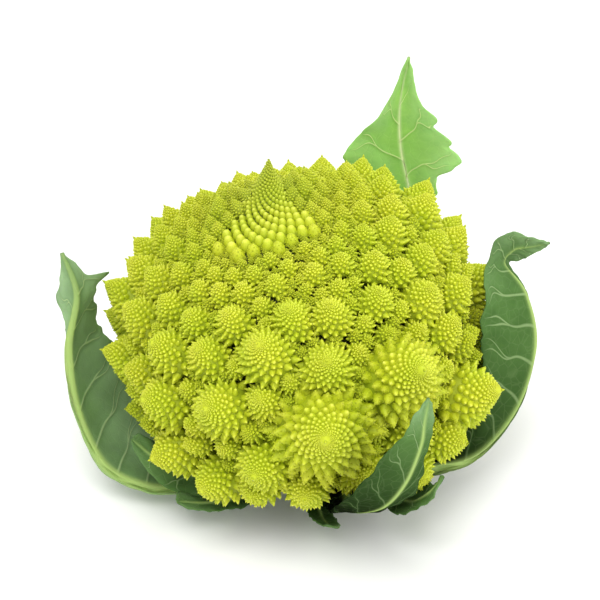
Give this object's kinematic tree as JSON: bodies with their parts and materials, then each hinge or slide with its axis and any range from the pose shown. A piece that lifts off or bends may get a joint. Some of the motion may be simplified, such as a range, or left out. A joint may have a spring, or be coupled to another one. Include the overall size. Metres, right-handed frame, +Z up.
{
  "type": "romanesco head",
  "caption": "Romanesco head: a leaning dome of pointed florets set in spirals, on a short cut stalk, cupped by curled leaves.",
  "frame": {"origin": "middle of the stalk's cut face, on which the head stands", "axes": "+Z up out of the cut face, -Y the front that the picture shows, +X its right"},
  "size_m": [0.2028, 0.1961, 0.1571],
  "materials": {
    "curd": "waxy yellow-green plant tissue",
    "stalk": "pale green plant tissue, cut flat at the foot",
    "leaf": "matt grey-green leaf",
    "leaf_young": "bright green leaf"
  },
  "bodies": {
    "root": {"curd": "curd", "stalk": "stalk", "leaf_left": "leaf", "leaf_right": "leaf", "leaf_front": "leaf", "leaf_back": "leaf_young", "leaf_inner": "leaf", "leaf_low_left": "leaf", "leaf_low_front": "leaf", "leaf_low_right": "leaf"}
  },
  "joints": []
}
